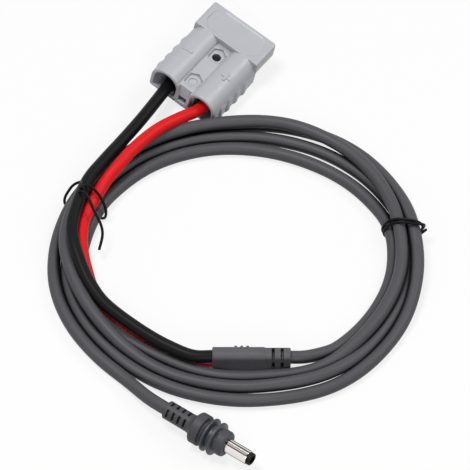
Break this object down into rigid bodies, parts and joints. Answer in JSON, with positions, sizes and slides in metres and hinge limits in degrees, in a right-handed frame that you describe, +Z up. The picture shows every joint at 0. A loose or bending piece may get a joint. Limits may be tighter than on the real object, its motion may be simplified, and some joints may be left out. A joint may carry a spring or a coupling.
{
  "type": "power cable",
  "caption": "Coiled power cable with a moulded flat two-pole connector, black and red wires, a moulded splitter, a round grey cable and a sealed barrel plug.",
  "frame": {"origin": "on the floor under the middle of the connector's bounding box", "axes": "+Y along the connector, out of its mating face; +X to its right seen from the wires, on the red wire's side; +Z up from the floor"},
  "size_m": [0.1795, 0.2014, 0.0224],
  "materials": {
    "connector_shell": "fine satin moulding",
    "contact_plating": "silver plated",
    "spring_steel": "bright rolled",
    "copper": "bare stranded copper",
    "wire_black": "smooth satin jacket",
    "wire_red": "smooth satin jacket",
    "moulding_grey": "soft satin moulding",
    "cable_grey": "smooth satin jacket",
    "seal_rubber": "smooth soft rubber",
    "plug_nickel": "nickel plated",
    "insulator_black": "smooth",
    "tie_black": "satin coated wire"
  },
  "bodies": {
    "root": {"connector_housing": "connector_shell", "contact_negative": "contact_plating", "contact_positive": "contact_plating", "spring_negative": "spring_steel", "spring_positive": "spring_steel", "conductor_negative": "copper", "conductor_positive": "copper", "black_wire": "wire_black", "red_wire": "wire_red", "splitter": "moulding_grey", "splice_negative": "copper", "splice_positive": "copper", "cable_start": "cable_grey", "cable_coil": "cable_grey", "cable_end": "cable_grey", "plug_moulding": "moulding_grey", "plug_seal": "seal_rubber", "plug_sleeve": "plug_nickel", "plug_insulator": "insulator_black", "plug_centre_contact": "plug_nickel", "left_tie": "tie_black", "right_tie": "tie_black"}
  },
  "joints": []
}
